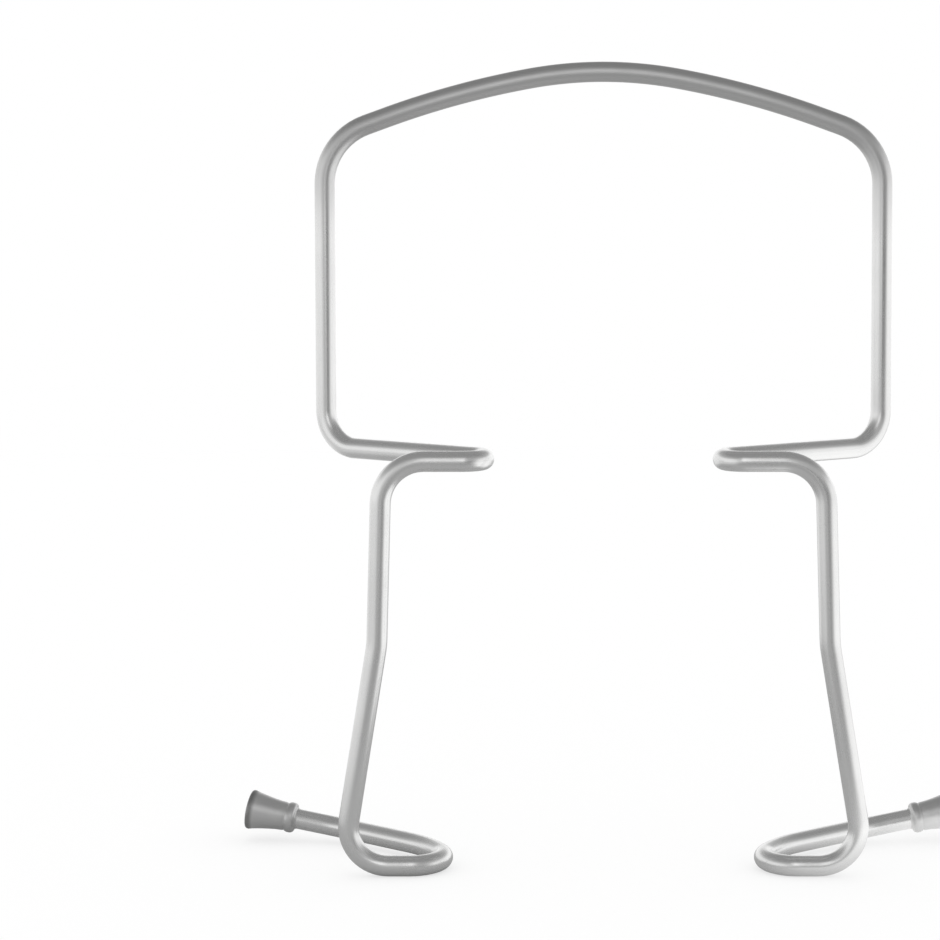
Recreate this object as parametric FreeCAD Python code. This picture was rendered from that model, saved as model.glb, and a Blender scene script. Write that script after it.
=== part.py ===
import FreeCAD, Part
import math
import os

# Self retaining lip and cheek retractor, bent from one length of stainless spring wire.
#
# Frame: +Z up, +X to the right, -Y to the front. The bow is on top, and the standing plane
# touches the two upper-lip hooks, with the end cones just above it. The origin is on that
# plane, at the middle of the object's width and depth. The wire is drawn at rest.
#
# From the middle of the bow, each half of the wire runs over the shoulder, down the outer
# leg, forwards and in to the lower-lip hook, back out, down the cheek bar, round the
# upper-lip hook and out along the tail, where a turned cone is brazed on its end.

# Wire stock
wire_diameter = 2.9

# Bow: a crown arc, flatter flank arcs and a straight run down to each shoulder
crown_height = 111.8
crown_radius = 59.0
crown_half_angle = 10.2
flank_radius = 125.0
shoulder_slope = 20.0
shoulder_bend_radius = 6.0

# Outer legs
leg_half_span = 40.0
leg_foot_bend_radius = 5.3

# Lower-lip hooks, the pair nearer to the bow
lower_hook_height = 58.0
lower_hook_reach = 16.6
lower_hook_turn_radius = 3.0
lower_hook_spread = 35.0

# Cheek bars
bar_top_half_span = 30.6
bar_top_bend_radius = 6.0
bar_knee_half_span = 31.35
bar_knee_height = 32.5
bar_knee_bend_radius = 12.0
bar_foot_half_span = 36.4
bar_foot_bend_radius = 5.5

# Upper-lip hooks, the pair that the retractor stands on
upper_hook_reach = 22.6
upper_hook_turn_radius = 4.5
upper_hook_spread = 62.0
heel_half_span = 25.0
heel_bend_radius = 16.0

# Tails
tail_knee_half_span = 38.9
tail_knee_depth = 20.9
tail_knee_height = 2.25
tail_knee_bend_radius = 8.0
tail_spread = 8.0
tail_slope = 9.8
tail_length = 13.2

# End cones
cone_length = 7.0
cone_end_diameter = 5.7
cone_rim_rounding = 0.35
cone_waist_diameter = 4.1
cone_flare_sag = 0.12
collar_diameter = 4.4
collar_length = 1.4
collar_chamfer = 0.3
bore_depth = 4.8
braze_gap = 0.04

# Flexures, where the bow's springing is gathered into one turning point on each side
flexure_clearance = 0.08
flexure_lip_setback = 0.6

wire_radius = wire_diameter / 2
cone_end_radius = cone_end_diameter / 2


def vector(x, y, z):
    return FreeCAD.Vector(x, y, z)


def tangent_length(bend_radius, turn):
    """How far from a corner a bend of this radius starts, for a turn in degrees."""
    return bend_radius * math.tan(math.radians(turn) / 2)


def bend_wire(corners):
    """Straight runs joined by tangent arcs, from (name, corner point, bend radius) rows.

    Returns the path's edges by name: each bend under its corner's name, and each straight run
    under "to " and the name of the corner that it leads to.
    """
    edges = {}
    here = corners[0][1]
    for (_, before, _), (name, corner, radius), (_, after, _) in zip(corners, corners[1:], corners[2:]):
        back = (before - corner).normalize()
        onward = (after - corner).normalize()
        half_angle = back.getAngle(onward) / 2
        start = corner + back * (radius / math.tan(half_angle))
        end = corner + onward * (radius / math.tan(half_angle))
        inward = (back + onward).normalize()
        middle = corner + inward * (radius / math.sin(half_angle) - radius)
        if (start - here).Length > 1e-6:
            edges["to " + name] = Part.LineSegment(here, start).toShape()
        edges[name] = Part.Arc(start, middle, end).toShape()
        here = end
    last_name, last_point, _ = corners[-1]
    if (last_point - here).Length > 1e-6:
        edges["to " + last_name] = Part.LineSegment(here, last_point).toShape()
    return edges


def round_wire(edges):
    """The solid round wire along a path of edges."""
    path = Part.Wire(edges)
    first = edges[0]
    start = first.valueAt(first.FirstParameter)
    heading = first.tangentAt(first.FirstParameter)
    section = Part.Wire(Part.Circle(start, heading, wire_radius).toShape())
    return path.makePipeShell([section], True, False)


def crossing_span(reach, turn_radius, spread):
    """Half span of the point where a hook's two runs would cross, given how far in it reaches."""
    return reach - turn_radius * (1 / math.tan(math.radians(spread) / 2) - 1)


# The bow's corners, in the plane of the outer legs
crown_turn = math.radians(crown_half_angle)
shoulder_turn = math.radians(shoulder_slope)
crown_corner_height = crown_height + crown_radius * (1 / math.cos(crown_turn) - 1)
flank_tangent = tangent_length(flank_radius, shoulder_slope - crown_half_angle)
crown_end_half_span = crown_radius * math.sin(crown_turn)
crown_end_height = crown_height - crown_radius * (1 - math.cos(crown_turn))
flank_half_span = crown_end_half_span + flank_tangent * math.cos(crown_turn)
flank_height = crown_end_height - flank_tangent * math.sin(crown_turn)
flexure_half_span = flank_half_span + flank_tangent * math.cos(shoulder_turn)
flexure_height = flank_height - flank_tangent * math.sin(shoulder_turn)
shoulder_height = flexure_height - (leg_half_span - flexure_half_span) * math.tan(shoulder_turn)

# Depths behind the cheek bars, which follow from how the hooks spread, and the height of each
# upper-lip hook's heel, on the slight rise from its turn to the tail
lower_crossing = crossing_span(lower_hook_reach, lower_hook_turn_radius, lower_hook_spread)
upper_crossing = crossing_span(upper_hook_reach, upper_hook_turn_radius, upper_hook_spread)
leg_depth = (leg_half_span - lower_crossing) * math.tan(math.radians(lower_hook_spread))
heel_depth = (heel_half_span - upper_crossing) * math.tan(math.radians(upper_hook_spread))
heel_rise_share = heel_depth / tail_knee_depth
heel_height = wire_radius + (tail_knee_height - wire_radius) * heel_rise_share

# The tail's end, in the middle of its cone's outer face
tail_turn = math.radians(tail_spread)
tail_rise = tail_length * math.sin(math.radians(tail_slope))
tail_plan_length = tail_length * math.cos(math.radians(tail_slope))
tail_end_half_span = tail_knee_half_span + tail_plan_length * math.cos(tail_turn)
tail_end_depth = tail_knee_depth + tail_plan_length * math.sin(tail_turn)
tail_end_height = tail_knee_height + tail_rise

# The cheek bars' depth that puts the origin midway between the object's front and back
backward_share = (tail_end_depth - tail_knee_depth) / tail_length
rim_share = math.sqrt(1 - backward_share ** 2)
rim_reach = (cone_end_radius - cone_rim_rounding) * rim_share + cone_rim_rounding
rim_setback = cone_rim_rounding * backward_share
back_depth = tail_end_depth - rim_setback + rim_reach
bar_depth = (wire_radius - back_depth) / 2


def place(side, half_span, depth, height):
    """A point on one side, from its distances out, behind the cheek bars and up."""
    return vector(side * half_span, bar_depth + depth, height)


def make_bow():
    """The middle of the bow, with a ball at each end for the flexures to turn on."""
    corners = [
        ("left end", place(-1, flexure_half_span, leg_depth, flexure_height), 0),
        ("left flank", place(-1, flank_half_span, leg_depth, flank_height), flank_radius),
        ("crown", place(1, 0, leg_depth, crown_corner_height), crown_radius),
        ("right flank", place(1, flank_half_span, leg_depth, flank_height), flank_radius),
        ("right end", place(1, flexure_half_span, leg_depth, flexure_height), 0),
    ]
    bow = round_wire(list(bend_wire(corners).values()))
    for side in (-1, 1):
        flexure = place(side, flexure_half_span, leg_depth, flexure_height)
        outward = vector(side * math.cos(shoulder_turn), 0, -math.sin(shoulder_turn))
        ball = Part.makeSphere(wire_radius, flexure, outward, 0, 90, 360)
        bow = bow.fuse(ball)
    return bow.removeSplitter()


def side_corners(side):
    """Every corner of one side's wire, from the flexure to the end inside the cone."""
    wire_end = 1 - (cone_length - bore_depth) / tail_length
    end_half_span = tail_knee_half_span + (tail_end_half_span - tail_knee_half_span) * wire_end
    end_depth = tail_knee_depth + (tail_end_depth - tail_knee_depth) * wire_end
    end_height = tail_knee_height + tail_rise * wire_end
    return [
        ("flexure", place(side, flexure_half_span, leg_depth, flexure_height), 0),
        ("shoulder", place(side, leg_half_span, leg_depth, shoulder_height), shoulder_bend_radius),
        ("leg foot", place(side, leg_half_span, leg_depth, lower_hook_height), leg_foot_bend_radius),
        ("lower turn", place(side, lower_crossing, 0, lower_hook_height), lower_hook_turn_radius),
        ("bar top", place(side, bar_top_half_span, 0, lower_hook_height), bar_top_bend_radius),
        ("bar knee", place(side, bar_knee_half_span, 0, bar_knee_height), bar_knee_bend_radius),
        ("bar foot", place(side, bar_foot_half_span, 0, wire_radius), bar_foot_bend_radius),
        ("upper turn", place(side, upper_crossing, 0, wire_radius), upper_hook_turn_radius),
        ("heel", place(side, heel_half_span, heel_depth, heel_height), heel_bend_radius),
        (
            "tail knee",
            place(side, tail_knee_half_span, tail_knee_depth, tail_knee_height),
            tail_knee_bend_radius,
        ),
        ("wire end", place(side, end_half_span, end_depth, end_height), 0),
    ]


# The named stretches that one side's wire is divided into, each cut square across the wire
stretches = {
    "outer_leg": ["to shoulder", "shoulder", "to leg foot"],
    "lower_lip_hook": ["leg foot", "to lower turn", "lower turn", "to bar top", "bar top"],
    "cheek_bar": ["to bar knee", "bar knee", "to bar foot"],
    "upper_lip_hook": ["bar foot", "to upper turn", "upper turn", "to heel", "heel", "to tail knee"],
    "tail": ["tail knee", "to wire end"],
}


def cup_flexure(outer_leg, side):
    """Hollows the leg's end round the bow's ball, and trims the thin lip of the hollow."""
    flexure = place(side, flexure_half_span, leg_depth, flexure_height)
    outward = vector(side * math.cos(shoulder_turn), 0, -math.sin(shoulder_turn))
    hollow = Part.makeSphere(wire_radius + flexure_clearance, flexure, outward)
    trim = Part.makeCylinder(wire_diameter, flexure_lip_setback, flexure, outward)
    return outer_leg.cut(hollow).cut(trim)


def make_end_cone(side):
    """The turned cone: a collar round the bore's mouth, a flared skirt and a flat end."""
    waist_radius = cone_waist_diameter / 2
    collar_radius = collar_diameter / 2
    bore_radius = wire_radius + braze_gap
    flare_start = vector(waist_radius, 0, collar_length)
    flare_end = vector(cone_end_radius, 0, cone_length - cone_rim_rounding)
    flare_chord = (flare_end - flare_start).normalize()
    towards_axis = vector(-flare_chord.z, 0, flare_chord.x)
    flare_middle = (flare_start + flare_end) * 0.5 + towards_axis * cone_flare_sag
    rim_end = vector(cone_end_radius - cone_rim_rounding, 0, cone_length)
    rim_middle = rim_end + vector(math.sin(math.pi / 4), 0, math.cos(math.pi / 4) - 1) * cone_rim_rounding
    outline = [
        vector(bore_radius, 0, bore_depth),
        vector(bore_radius, 0, 0),
        vector(collar_radius - collar_chamfer, 0, 0),
        vector(collar_radius, 0, collar_chamfer),
        vector(collar_radius, 0, collar_length - collar_chamfer),
        flare_start,
    ]
    closing = [rim_end, vector(0, 0, cone_length), vector(0, 0, bore_depth), outline[0]]
    edges = [Part.LineSegment(a, b).toShape() for a, b in zip(outline, outline[1:])]
    edges.append(Part.Arc(flare_start, flare_middle, flare_end).toShape())
    edges.append(Part.Arc(flare_end, rim_middle, rim_end).toShape())
    edges += [Part.LineSegment(a, b).toShape() for a, b in zip(closing, closing[1:])]
    cone = Part.Face(Part.Wire(edges)).revolve(vector(0, 0, 0), vector(0, 0, 1), 360)
    knee = place(side, tail_knee_half_span, tail_knee_depth, tail_knee_height)
    end = place(side, tail_end_half_span, tail_end_depth, tail_end_height)
    along = (end - knee).normalize()
    cone.Placement = FreeCAD.Placement(
        end - along * cone_length, FreeCAD.Rotation(vector(0, 0, 1), along)
    )
    return cone


def check_solid(name, shape):
    """Stops the build on a piece that isn't one sound solid."""
    if len(shape.Solids) != 1 or not shape.isValid() or shape.Volume <= 0:
        raise ValueError(name + " isn't one valid solid")


pieces = {"bow": make_bow()}
for side, side_name in ((-1, "left"), (1, "right")):
    wire_edges = bend_wire(side_corners(side))
    for stretch_name, edge_names in stretches.items():
        stretch = round_wire([wire_edges[name] for name in edge_names])
        if stretch_name == "outer_leg":
            stretch = cup_flexure(stretch, side)
        pieces[side_name + "_" + stretch_name] = stretch
    pieces[side_name + "_end_cone"] = make_end_cone(side)

os.makedirs("parts", exist_ok=True)
for name, shape in pieces.items():
    check_solid(name, shape)
    shape.exportStep("parts/" + name + ".step")

print("right flexure:", place(1, flexure_half_span, leg_depth, flexure_height))
print("right cone's outer face:", place(1, tail_end_half_span, tail_end_depth, tail_end_height))
print("cheek bar depth:", round(bar_depth, 3), "outer leg depth:", round(bar_depth + leg_depth, 3))
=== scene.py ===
import math

import bmesh
import bpy
from mathutils import Matrix, Vector


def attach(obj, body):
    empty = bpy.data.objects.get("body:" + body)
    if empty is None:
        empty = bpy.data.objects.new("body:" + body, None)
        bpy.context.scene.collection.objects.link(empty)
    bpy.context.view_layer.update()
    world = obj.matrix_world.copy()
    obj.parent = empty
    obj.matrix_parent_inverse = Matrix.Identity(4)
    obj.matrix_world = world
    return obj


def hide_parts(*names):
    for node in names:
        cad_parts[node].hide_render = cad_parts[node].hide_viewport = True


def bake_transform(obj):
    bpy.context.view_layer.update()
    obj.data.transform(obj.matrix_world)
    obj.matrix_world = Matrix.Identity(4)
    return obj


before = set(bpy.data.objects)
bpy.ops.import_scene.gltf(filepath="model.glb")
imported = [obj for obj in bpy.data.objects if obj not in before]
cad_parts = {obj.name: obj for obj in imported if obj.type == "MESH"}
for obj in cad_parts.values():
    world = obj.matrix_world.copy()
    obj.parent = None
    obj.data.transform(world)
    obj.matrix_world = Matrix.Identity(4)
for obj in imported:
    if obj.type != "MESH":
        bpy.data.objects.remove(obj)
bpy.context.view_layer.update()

# The camera stands 425 mm in front of the cheek bars, just under the bow's height, and looks
# slightly down, as in the photograph. The photograph's framing puts the retractor's middle
# right of the picture's middle, which is the sideways shift.
camera_position = (0, -0.4365, 0.1030)
camera_pitch = 4.492
camera_lens = 118.71
camera_shift = (-0.142, -0.0989)

bpy.ops.object.select_all(action="DESELECT")
bpy.ops.object.camera_add(
    location=camera_position, rotation=(math.radians(90 - camera_pitch), 0, 0)
)
camera = bpy.context.object
camera.name = "photo_camera"
camera.data.sensor_width = 36
camera.data.lens = camera_lens
camera.data.shift_x, camera.data.shift_y = camera_shift
camera.data.clip_start = 0.01
camera.data.clip_end = 10
bpy.context.scene.camera = camera


# The bow is the middle of one length of round stainless spring wire, drawn to size, bent cold
# round formers and left satin. Here are its crown arc and the flatter arcs that start its
# flanks, up to the places where the side wires carry on.
wire_radius = 0.00145
wire_facets = 32
wire_smooth_below = math.radians(40)
ring_spacing = 0.001
ring_turn = math.radians(6)

bow_depth = 0.008927
crown_height = 0.1118
crown_radius = 0.059
crown_half_angle = math.radians(10.2)
flank_radius = 0.125
seam_slope = math.radians(15.1)


class Bender:
    """Wire stock that is fed and bent, one ring of edges at a time.

    Every point of its surface keeps its place in the straight stock, in the attribute
    "stock", so that the finish can run along the wire.
    """

    def __init__(self, name, start, heading, fed):
        self.here, self.heading, self.fed = Vector(start), Vector(heading).normalized(), fed
        depthwise = Vector((0, 1, 0))
        sideways = depthwise.cross(self.heading)
        tilt = Matrix((depthwise, -sideways, self.heading)).transposed()
        bpy.ops.object.select_all(action="DESELECT")
        bpy.ops.mesh.primitive_circle_add(
            vertices=wire_facets, radius=wire_radius, location=self.here, rotation=tilt.to_euler()
        )
        self.wire = bpy.context.object
        self.wire.name = self.wire.data.name = name
        bpy.ops.object.transform_apply(location=True, rotation=True, scale=True)
        bpy.ops.object.mode_set(mode="EDIT")
        bpy.ops.mesh.select_all(action="SELECT")
        mesh = bmesh.from_edit_mesh(self.wire.data)
        stock = mesh.verts.layers.float_vector.new("stock")
        for vertex in mesh.verts:
            spoke = vertex.co - self.here
            vertex[stock] = (spoke.dot(depthwise), spoke.dot(sideways), self.fed)

    def feed(self, length):
        """Counts the stock that the last ring has moved along by."""
        self.fed += length
        mesh = bmesh.from_edit_mesh(self.wire.data)
        stock = mesh.verts.layers.float_vector["stock"]
        for vertex in mesh.verts:
            if vertex.select:
                vertex[stock].z = self.fed

    def run(self, length):
        """A straight run."""
        steps = max(1, round(length / ring_spacing))
        for _ in range(steps):
            bpy.ops.mesh.extrude_region_move(
                TRANSFORM_OT_translate={"value": self.heading * (length / steps)}
            )
            self.feed(length / steps)
        self.here += self.heading * length

    def bend(self, onward, radius):
        """A bend of this centreline radius, until the wire heads onward."""
        onward = Vector(onward).normalized()
        turn = self.heading.angle(onward)
        inward = (onward - self.heading * self.heading.dot(onward)).normalized()
        centre = self.here + inward * radius
        axis = onward.cross(self.heading).normalized()
        steps = math.ceil(max(turn / ring_turn, turn * radius / ring_spacing))
        for _ in range(steps):
            bpy.ops.mesh.spin(steps=1, angle=turn / steps, center=centre, axis=axis)
            self.feed(turn * radius / steps)
        self.here = centre + (self.heading * math.sin(turn) - inward * math.cos(turn)) * radius
        self.heading = onward

    def follow(self, corners):
        """Straight runs and bends along rows of (corner point, bend radius)."""
        corners = [(Vector(corner), radius) for corner, radius in corners]
        for (corner, radius), (after, _) in zip(corners, corners[1:]):
            onward = (after - corner).normalized()
            setback = radius * math.tan(self.heading.angle(onward) / 2)
            self.run((corner - self.here).length - setback)
            self.bend(onward, radius)
        self.run((corners[-1][0] - self.here).length)

    def cut_off(self):
        """Closes both ends of the wire and smooths it."""
        bpy.ops.mesh.select_all(action="SELECT")
        bpy.ops.mesh.fill_holes(sides=wire_facets)
        bpy.ops.mesh.normals_make_consistent(inside=False)
        bpy.ops.object.mode_set(mode="OBJECT")
        bpy.ops.object.shade_smooth_by_angle(angle=wire_smooth_below)
        return self.wire


def slope_heading(side, slope):
    """Outwards and down the bow's flank on one side."""
    return Vector((side * math.cos(slope), 0, -math.sin(slope)))


crown_end = Vector((
    crown_radius * math.sin(crown_half_angle),
    bow_depth,
    crown_height - crown_radius * (1 - math.cos(crown_half_angle)),
))
seam = crown_end + flank_radius * Vector((
    math.sin(seam_slope) - math.sin(crown_half_angle),
    0,
    math.cos(seam_slope) - math.cos(crown_half_angle),
))
flank_arc = flank_radius * (seam_slope - crown_half_angle)
crown_arc = crown_radius * crown_half_angle

bow_bender = Bender(
    "bow_wire", (-seam.x, seam.y, seam.z), -slope_heading(-1, seam_slope), -flank_arc - crown_arc
)
bow_bender.bend(-slope_heading(-1, crown_half_angle), flank_radius)
bow_bender.bend(slope_heading(1, crown_half_angle), crown_radius)
bow_bender.bend(slope_heading(1, seam_slope), flank_radius)
bow = bow_bender.cut_off()
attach(bow, "bow_middle")
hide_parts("bow")


class Socket:
    """A node's output, on which arithmetic adds the Math nodes that it needs."""

    def __init__(self, shader, output):
        self.shader, self.output = shader, output

    def maths(self, operation, *values):
        inputs = dict(enumerate(values))
        return self.shader.node("ShaderNodeMath", {"operation": operation}, inputs, "Value")

    def __add__(self, other):
        return self.maths("ADD", self, other)

    def __sub__(self, other):
        return self.maths("SUBTRACT", self, other)

    def __rsub__(self, other):
        return self.maths("SUBTRACT", other, self)

    def __mul__(self, other):
        return self.maths("MULTIPLY", self, other)

    __radd__ = __add__
    __rmul__ = __mul__

    def between(self, low, high):
        """0 below low, 1 above high and smooth from one to the other."""
        return self.shader.node(
            "ShaderNodeMapRange",
            {"interpolation_type": "SMOOTHSTEP"},
            {"Value": self, "From Min": low, "From Max": high},
            "Result",
        )


class Shader:
    """The node tree of a finish or of the world."""

    def __init__(self, owner):
        owner.use_nodes = True
        self.tree = owner.node_tree
        self.tree.nodes.clear()

    def node(self, kind, settings, inputs, output=None):
        """Adds a node, sets it, then gives its inputs their values or links."""
        node = self.tree.nodes.new(kind)
        for setting, value in settings.items():
            setattr(node, setting, value)
        for name, value in inputs.items():
            if isinstance(name, int):
                socket = node.inputs[name]
            else:
                found = [s for s in node.inputs if name in (s.identifier, s.name) and s.enabled]
                socket = found[0]
            if isinstance(value, Socket):
                self.tree.links.new(value.output, socket)
            else:
                socket.default_value = value
        if output is None:
            return node
        return Socket(self, [s for s in node.outputs if s.name == output and s.enabled][0])


# The pattern's sizes are in cells per metre: twice across the wire and then along it for the
# draw lines, and all ways for the clouds, which are a slight unevenness of the finish.
draw_line_cells = (9000, 9000, 120)
cloud_cells = 160.0
lightest = 1.11
mottling = 0.14
line_share = 0.7
blue_share = 0.995
cloud_roughness = 0.12
line_roughness = 0.08
line_depth = 0.00002
line_strength = 0.05


def steel_finish(name, change, first, second):
    """Stainless steel with fine draw lines along the stock.

    The first and second are each (grey, roughness), and a grey may stand for painted shade.
    The first gives way to the second between the two distances in change, which are measured
    along the stock from its zero, both ways.
    """
    steel = bpy.data.materials.new(name)
    shader = Shader(steel)
    stock = shader.node("ShaderNodeAttribute", {"attribute_name": "stock"}, {}, "Vector")
    place = shader.node("ShaderNodeTexCoord", {}, {}, "Object")
    drawn = shader.node(
        "ShaderNodeMapping", {}, {"Vector": stock, "Scale": draw_line_cells}, "Vector"
    )
    lines = shader.node(
        "ShaderNodeTexNoise",
        {},
        {"Vector": drawn, "Scale": 1.0, "Detail": 3.0, "Roughness": 0.6},
        "Fac",
    )
    clouds = shader.node(
        "ShaderNodeTexNoise",
        {},
        {"Vector": place, "Scale": cloud_cells, "Detail": 3.0, "Roughness": 0.55},
        "Fac",
    )
    split = shader.node("ShaderNodeSeparateXYZ", {}, {"Vector": stock})
    along = Socket(shader, split.outputs["Z"])
    further = (along * along).between(change[0] ** 2, change[1] ** 2)
    grey = first[0] + further * (second[0] - first[0])
    grey = grey * (lightest - ((lines - 0.5) * line_share + clouds) * mottling)
    tone = shader.node(
        "ShaderNodeCombineColor",
        {},
        {"Red": grey, "Green": grey, "Blue": grey * blue_share},
        "Color",
    )
    rough = first[1] + further * (second[1] - first[1])
    rough = rough + (clouds - 0.5) * cloud_roughness + (lines - 0.5) * line_roughness
    bump = shader.node(
        "ShaderNodeBump",
        {},
        {"Strength": line_strength, "Distance": line_depth, "Height": lines},
        "Normal",
    )
    surface = shader.node(
        "ShaderNodeBsdfPrincipled",
        {},
        {"Base Color": tone, "Metallic": 1.0, "Roughness": rough, "Normal": bump},
        "BSDF",
    )
    shader.node("ShaderNodeOutputMaterial", {}, {"Surface": surface})
    return steel


# The wire is satin over the bow, where it is held, and polished from the shoulders on. Its grey
# is darker over the bow, partly for the satin and partly as painted shade.
satin_and_shade = (0.60, 0.38)
polished = (0.82, 0.27)
satin_to_polished = (0.038, 0.055)
wire_steel = steel_finish("drawn_stainless_wire", satin_to_polished, satin_and_shade, polished)
bow.data.materials.append(wire_steel)


# The side wires are the rest of the same length of wire. Each runs over its shoulder, down the
# outer leg, round the lower-lip hook, down the cheek bar, round the upper-lip hook and out to
# its cone.
shoulder_slope = math.radians(20)
leg_half_span = 0.040
lower_hook_height = 0.058
upper_hook_height = wire_radius
bar_depth = -0.012019
shoulder = ((leg_half_span, bow_depth, 0.102053), 0.0090)
leg_foot = ((leg_half_span, bow_depth, lower_hook_height), 0.0053)
lower_hook_turn = ((0.010085, bar_depth, lower_hook_height), 0.0030)
bar_top = ((0.0306, bar_depth, lower_hook_height), 0.0060)
bar_knee = ((0.03135, bar_depth, 0.0325), 0.0120)
bar_foot = ((0.0364, bar_depth, upper_hook_height), 0.0055)
upper_hook_turn = ((0.019611, bar_depth, upper_hook_height), 0.0045)
heel = ((0.0250, -0.001883, 0.001838), 0.0160)
tail_start = ((0.0389, 0.008881, 0.00225), 0.0080)
side_corners = [
    shoulder,
    leg_foot,
    lower_hook_turn,
    bar_top,
    bar_knee,
    bar_foot,
    upper_hook_turn,
    heel,
    tail_start,
]

flexure = Vector((0.031065, bow_depth, 0.105305))
flex_way = (0.8, 0, -0.6)
flex_reach = 0.010

cone_face = Vector((0.051781, 0.010691, 0.004497))
cone_length = 0.0070
bore_depth = 0.0048
tail_way = (cone_face - Vector(tail_start[0])).normalized()
wire_end = cone_face - tail_way * (cone_length - bore_depth)


def on_side(side, point):
    """A point or direction of the right side, or its mirror image on the left."""
    return Vector((side * point[0], point[1], point[2]))


for side, side_name in ((-1, "left"), (1, "right")):
    corners = [(on_side(side, corner), radius) for corner, radius in side_corners]
    bender = Bender(
        side_name + "_wire",
        on_side(side, seam),
        slope_heading(side, seam_slope),
        flank_arc + crown_arc,
    )
    bender.bend(slope_heading(side, shoulder_slope), flank_radius)
    bender.follow(corners + [(on_side(side, wire_end), 0)])
    wire = bender.cut_off()
    wire.data.materials.append(wire_steel)
    across = on_side(side, flex_way) * flex_reach
    here = on_side(side, flexure)
    here - across
    here + across
    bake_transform(wire)
    stretches = ["outer_leg", "lower_lip_hook", "cheek_bar", "upper_lip_hook", "tail"]
    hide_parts(*(side_name + "_" + stretch for stretch in stretches))


# The end cones are turned from stainless bar: a small collar, a flared skirt and a flat end.
# Each is bored, pushed over the end of the wire and silver brazed to it at the collar. The
# outline is in rows of (place along the cone, radius).
braze_fillet = [
    (-0.00040, 0.00146),
    (-0.00022, 0.00151),
    (-0.00008, 0.00162),
    (0.0, 0.00178),
]
collar = [
    (0.00004, 0.00190),
    (0.00013, 0.00204),
    (0.00028, 0.00214),
    (0.00050, 0.00220),
    (0.00090, 0.00220),
    (0.00112, 0.00214),
    (0.00127, 0.00206),
]
groove = [
    (0.00136, 0.00198),
    (0.00148, 0.00198),
]
flared_skirt = [
    (0.00160, 0.00205),
    (0.0027, 0.00213),
    (0.0037, 0.00227),
    (0.0046, 0.00242),
    (0.0055, 0.00259),
    (0.0061, 0.00272),
    (0.00638, 0.00280),
    (0.00648, 0.00284),
]
rim = [
    (0.00668, 0.002845),
    (0.00684, 0.00281),
    (0.00695, 0.00270),
    (cone_length, 0.0025),
]
flat_end = [
    (cone_length, 0.0016),
    (cone_length, 0.0006),
]
cone_outline = braze_fillet + collar + groove + flared_skirt + rim + flat_end
cone_facets = 64
cone_smooth_below = math.radians(35)

fine_turned = (0.66, 0.42)
# The end of the skirt, the rim and the flat end are painted darker, as painted shade along the
# rim.
painted_shade_end = (0.34, 0.46)
skirt_to_end = (0.0058, 0.0065)
cone_steel = steel_finish("turned_stainless", skirt_to_end, fine_turned, painted_shade_end)

for side, side_name in ((-1, "left"), (1, "right")):
    bpy.ops.object.select_all(action="DESELECT")
    bpy.ops.mesh.primitive_circle_add(
        vertices=cone_facets, radius=cone_outline[0][1], location=(0, 0, cone_outline[0][0])
    )
    cone = bpy.context.object
    cone.name = cone.data.name = side_name + "_turned_cone"
    bpy.ops.object.transform_apply(location=True, rotation=True, scale=True)
    bpy.ops.object.mode_set(mode="EDIT")
    bpy.ops.mesh.select_all(action="SELECT")
    for (height, radius), (next_height, next_radius) in zip(cone_outline, cone_outline[1:]):
        bpy.ops.mesh.extrude_region_move(
            TRANSFORM_OT_translate={"value": (0, 0, next_height - height)}
        )
        scale = next_radius / radius
        bpy.ops.transform.resize(value=(scale, scale, 1), center_override=(0, 0, next_height))
    bpy.ops.mesh.select_all(action="SELECT")
    bpy.ops.mesh.fill_holes(sides=cone_facets)
    bpy.ops.mesh.normals_make_consistent(inside=False)
    bpy.ops.object.mode_set(mode="OBJECT")
    stock = cone.data.attributes.new("stock", "FLOAT_VECTOR", "POINT")
    for vertex, row in zip(cone.data.vertices, stock.data):
        row.vector = vertex.co
    outward = on_side(side, tail_way)
    cone.rotation_euler = outward.to_track_quat("Z", "Y").to_euler()
    cone.location = on_side(side, cone_face) - outward * cone_length
    bpy.ops.object.transform_apply(location=True, rotation=True, scale=True)
    bpy.ops.object.shade_smooth_by_angle(angle=cone_smooth_below)
    cone.data.materials.append(cone_steel)
    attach(cone, side_name + "_side")
    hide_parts(side_name + "_end_cone")


# The stage is a white table that the retractor stands on, and that fades out far from it. It
# shows white to the camera, with the contact shadow. In reflections it glows on the right, and
# less on the left and behind.
table_radius = 1.6
table_facets = 96
table_fade = (0.25, 0.9)
table_grey = 0.33
seen_glow = 1 - table_grey
right_glow = 0.72
left_glow = 0.3
back_glow = 0.2
near_glow = 0.09
near_glow_loss = 0.07

bpy.ops.object.select_all(action="DESELECT")
bpy.ops.mesh.primitive_circle_add(
    vertices=table_facets, radius=table_radius, fill_type="NGON", location=(0, 0, 0)
)
floor = bpy.context.object
floor.name = "white_table"
table_paint = bpy.data.materials.new("white_table")
paint = Shader(table_paint)
ray = paint.node("ShaderNodeLightPath", {}, {})
seen, mirrored = (Socket(paint, ray.outputs[kind]) for kind in ("Is Camera Ray", "Is Glossy Ray"))
spot = paint.node("ShaderNodeTexCoord", {}, {}, "Object")
away = paint.node("ShaderNodeVectorMath", {"operation": "LENGTH"}, {0: spot}, "Value")
way = paint.node("ShaderNodeVectorMath", {"operation": "NORMALIZE"}, {0: spot}, "Vector")
split = paint.node("ShaderNodeSeparateXYZ", {}, {"Vector": way})
across, behind = (Socket(paint, split.outputs[axis]) for axis in "XY")
on_right = across.between(0.45, 0.9)
on_left = (0 - across).between(0.2, 0.6)
at_back = behind.between(0.1, 0.6)
clear_of_wire = away.between(0.06, 0.16)
far_glow = on_left * left_glow + at_back * (1 - on_right) * back_glow
mirror_glow = away.between(0.015, 0.06) * on_right * right_glow + clear_of_wire * far_glow
mirror_glow = mirror_glow + near_glow - away.between(0.05, 0.12) * near_glow_loss
glow = seen * seen_glow + mirrored * mirror_glow
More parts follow.
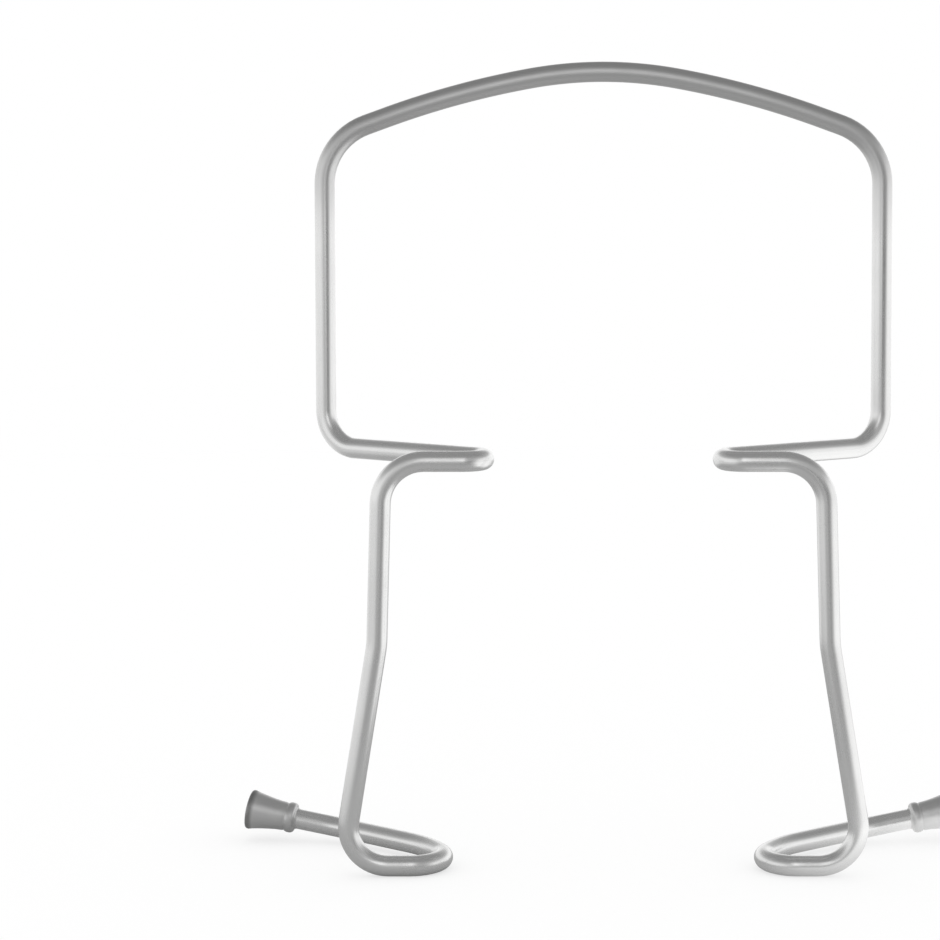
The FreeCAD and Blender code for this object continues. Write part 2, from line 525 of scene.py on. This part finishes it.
matte = paint.node(
    "ShaderNodeBsdfDiffuse", {}, {"Color": (table_grey, table_grey, table_grey, 1)}, "BSDF"
)
shine = paint.node(
    "ShaderNodeEmission", {}, {"Color": (1, 1, 1, 1), "Strength": glow}, "Emission"
)
lit = paint.node("ShaderNodeAddShader", {}, {0: matte, 1: shine}, "Shader")
clear = paint.node("ShaderNodeBsdfTransparent", {}, {"Color": (1, 1, 1, 1)}, "BSDF")
faded = paint.node(
    "ShaderNodeMixShader", {}, {"Fac": away.between(*table_fade), 1: lit, 2: clear}, "Shader"
)
paint.node("ShaderNodeOutputMaterial", {}, {"Surface": faded})
floor.data.materials.append(table_paint)


# A white card between the lens and the retractor puts the light streak on the lip hooks. It is
# brightest from the bow's height to nearly twice that, and only reflections see it.
card_width = 0.10
card_height = 0.38
card_depth = -0.315
card_foot_light = 0.48
card_middle_gain = 0.64
card_top_loss = 0.55

bpy.ops.object.select_all(action="DESELECT")
bpy.ops.mesh.primitive_plane_add(
    size=1, location=(0, card_depth, card_height / 2), rotation=(math.radians(90), 0, 0)
)
card = bpy.context.object
card.name = "lens_card"
card.scale = (card_width, card_height, 1)
bpy.ops.object.transform_apply(location=True, rotation=True, scale=True)
card_paint = bpy.data.materials.new("lens_card")
paint = Shader(card_paint)
spot = paint.node("ShaderNodeTexCoord", {}, {}, "Object")
split = paint.node("ShaderNodeSeparateXYZ", {}, {"Vector": spot})
height = Socket(paint, split.outputs["Z"])
card_light = card_foot_light + height.between(0.06, 0.11) * card_middle_gain
card_light = card_light - height.between(0.2, card_height) * card_top_loss
shine = paint.node(
    "ShaderNodeEmission", {}, {"Color": (1, 1, 1, 1), "Strength": card_light}, "Emission"
)
paint.node("ShaderNodeOutputMaterial", {}, {"Surface": shine})
card.data.materials.append(card_paint)
card.visible_camera = card.visible_diffuse = card.visible_shadow = False
card.visible_transmission = card.visible_volume_scatter = False


# The room is an even white light, except to reflections. They see pale walls on the right, on
# the left and behind, a dim ceiling, and a low dark patch in front, right of the camera.
room_tone = 0.42
back_tone = 1.05
left_tone = 0.90
right_tone = 0.98
patch_tone = 0.15
patch_place = 0.35
ceiling_tone = 0.27

world = bpy.data.worlds.new("white_room")
bpy.context.scene.world = world
room = Shader(world)
way = room.node("ShaderNodeTexCoord", {}, {}, "Generated")
split = room.node("ShaderNodeSeparateXYZ", {}, {"Vector": way})
across, behind, up = (Socket(room, split.outputs[axis]) for axis in "XYZ")
ray = room.node("ShaderNodeLightPath", {}, {})
mirrored = Socket(room, ray.outputs["Is Glossy Ray"])


def lay_over(below, share, tone):
    """One tone of the room laid over the others, on the part of the room that share gives."""
    return below + share * (tone - below)


side_band = 1 - (up * up).between(0.05, 0.3)
back_band = 1 - (up * up).between(0.06, 0.25)
in_front = 1 - behind.between(-0.5, 0.1)
from_patch = across - patch_place
dark_patch = (1 - (from_patch * from_patch).between(0.02, 0.2)) * in_front
tone = lay_over(room_tone, behind.between(0.1, 0.5) * back_band, back_tone)
tone = lay_over(tone, (0 - across).between(0.0, 0.8) * side_band, left_tone)
tone = lay_over(tone, across.between(0.66, 1.0) * side_band, right_tone)
tone = lay_over(tone, dark_patch * (1 - up.between(0.0, 0.12)), patch_tone)
tone = lay_over(tone, up.between(0.5, 0.8), ceiling_tone)
level = mirrored * tone + (1 - mirrored)
background = room.node(
    "ShaderNodeBackground", {}, {"Color": (1, 1, 1, 1), "Strength": level}, "Background"
)
room.node("ShaderNodeOutputWorld", {}, {"Surface": background})

bpy.context.scene.view_settings.view_transform = "Standard"
